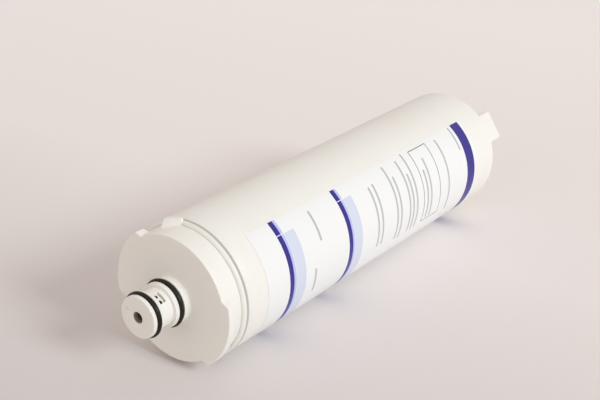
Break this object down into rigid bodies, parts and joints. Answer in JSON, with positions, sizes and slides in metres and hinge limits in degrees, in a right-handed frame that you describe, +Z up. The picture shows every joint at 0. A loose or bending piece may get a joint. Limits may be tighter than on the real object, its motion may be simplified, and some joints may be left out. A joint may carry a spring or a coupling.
{
  "type": "fridge water filter cartridge",
  "caption": "Cylindrical refrigerator water filter cartridge with a ported twist-lock neck sealed by rubber rings, a domed closed end and a grip bar.",
  "frame": {"origin": "centre of the outlet bore's mouth in the neck's nose face", "axes": "+X along the cartridge from the nose to the closed end, +Z up with the cartridge lying on its side as pictured, +Y away from the label side"},
  "size_m": [0.3085, 0.077, 0.0778],
  "materials": {
    "housing_plastic": "satin ivory polypropylene",
    "head_plastic": "satin ivory polypropylene",
    "seal_rubber": "lubricated black rubber",
    "label_print": "printed white film",
    "carbon": "porous sintered carbon",
    "element_plastic": "natural polypropylene",
    "fleece": "white spun fleece",
    "adhesive": "hot-melt adhesive"
  },
  "bodies": {
    "root": {"housing": "housing_plastic", "head_cap": "head_plastic", "front_neck_o_ring": "seal_rubber", "rear_neck_o_ring": "seal_rubber", "label_film": "label_print", "carbon_block": "carbon", "core_tube": "element_plastic", "prefilter_wrap": "fleece", "outer_net": "element_plastic", "outlet_end_cap": "element_plastic", "spigot_o_ring": "seal_rubber", "closed_end_cap": "element_plastic", "outlet_glue_ring": "adhesive", "closed_glue_ring": "adhesive"}
  },
  "joints": []
}
